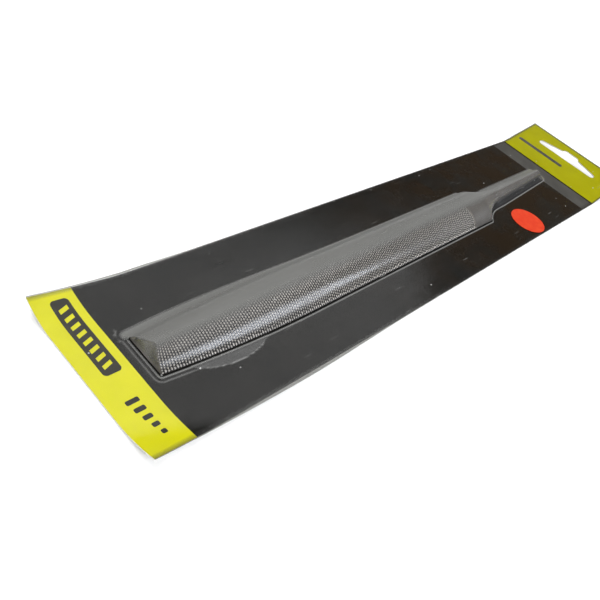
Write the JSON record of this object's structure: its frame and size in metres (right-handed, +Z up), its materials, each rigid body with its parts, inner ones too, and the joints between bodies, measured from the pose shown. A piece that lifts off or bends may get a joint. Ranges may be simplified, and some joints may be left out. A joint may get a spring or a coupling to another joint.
{
  "type": "carded half-round wood rasp",
  "caption": "Half-round wood rasp without a handle, held by a clear skin film on a printed card with a tilted header and a hanging slot.",
  "frame": {"origin": "on the resting surface, under the middle of the pack's bounding box", "axes": "+X along the card from the rasp's tip to the hanging header, +Y across the card, +Z up out of the card's printed face"},
  "size_m": [0.3394, 0.0674, 0.0074],
  "materials": {
    "rasp_steel": "grey hardened steel, rough-cut teeth with bright points",
    "card_stock": "white-grey uncoated board on the back and the cut edges",
    "yellow_ink": "bright yellow printing",
    "black_ink": "solid black printing",
    "dark_ink": "dark printing on the yellow areas",
    "grey_ink": "dark grey printing",
    "clear_film": "clear glossy skin film with creases and an air pocket",
    "dot_paper": "orange-red coated label paper"
  },
  "bodies": {
    "root": {"rasp_blade": "rasp_steel", "card_board": "card_stock", "print_tip_band": "yellow_ink", "print_tip_badge": "dark_ink", "print_size_marks": "dark_ink", "print_black_field": "black_ink", "print_header_stripe": "grey_ink", "print_header": "yellow_ink", "print_header_bar": "dark_ink", "skin_film": "clear_film", "price_dot": "dot_paper"}
  },
  "joints": []
}
